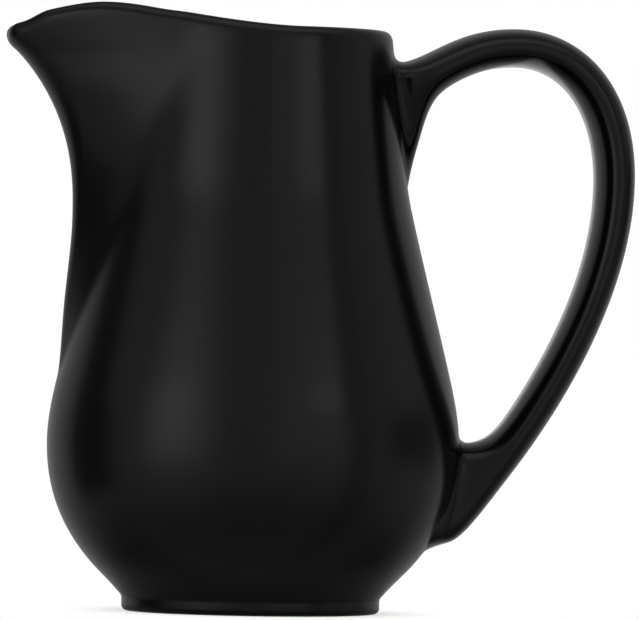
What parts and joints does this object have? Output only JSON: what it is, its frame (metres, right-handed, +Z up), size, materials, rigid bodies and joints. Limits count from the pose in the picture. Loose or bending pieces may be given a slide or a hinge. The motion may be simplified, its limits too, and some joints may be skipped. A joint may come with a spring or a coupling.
{
  "type": "milk jug",
  "caption": "Small pear-shaped glazed stoneware milk jug with a long beaked spout, a strap handle opposite it and a low foot ring.",
  "frame": {"origin": "on the table under the middle of the jug's overall length, spout tip to handle, and midway across its width", "axes": "+X from the spout towards the handle, +Y across the jug, away from the side that the picture shows, +Z up"},
  "size_m": [0.1186, 0.0772, 0.1133],
  "materials": {
    "black_glaze": "satin black glaze"
  },
  "bodies": {
    "root": {"body": "black_glaze", "handle": "black_glaze", "upper_slip_joint": "black_glaze", "lower_slip_joint": "black_glaze"}
  },
  "joints": []
}
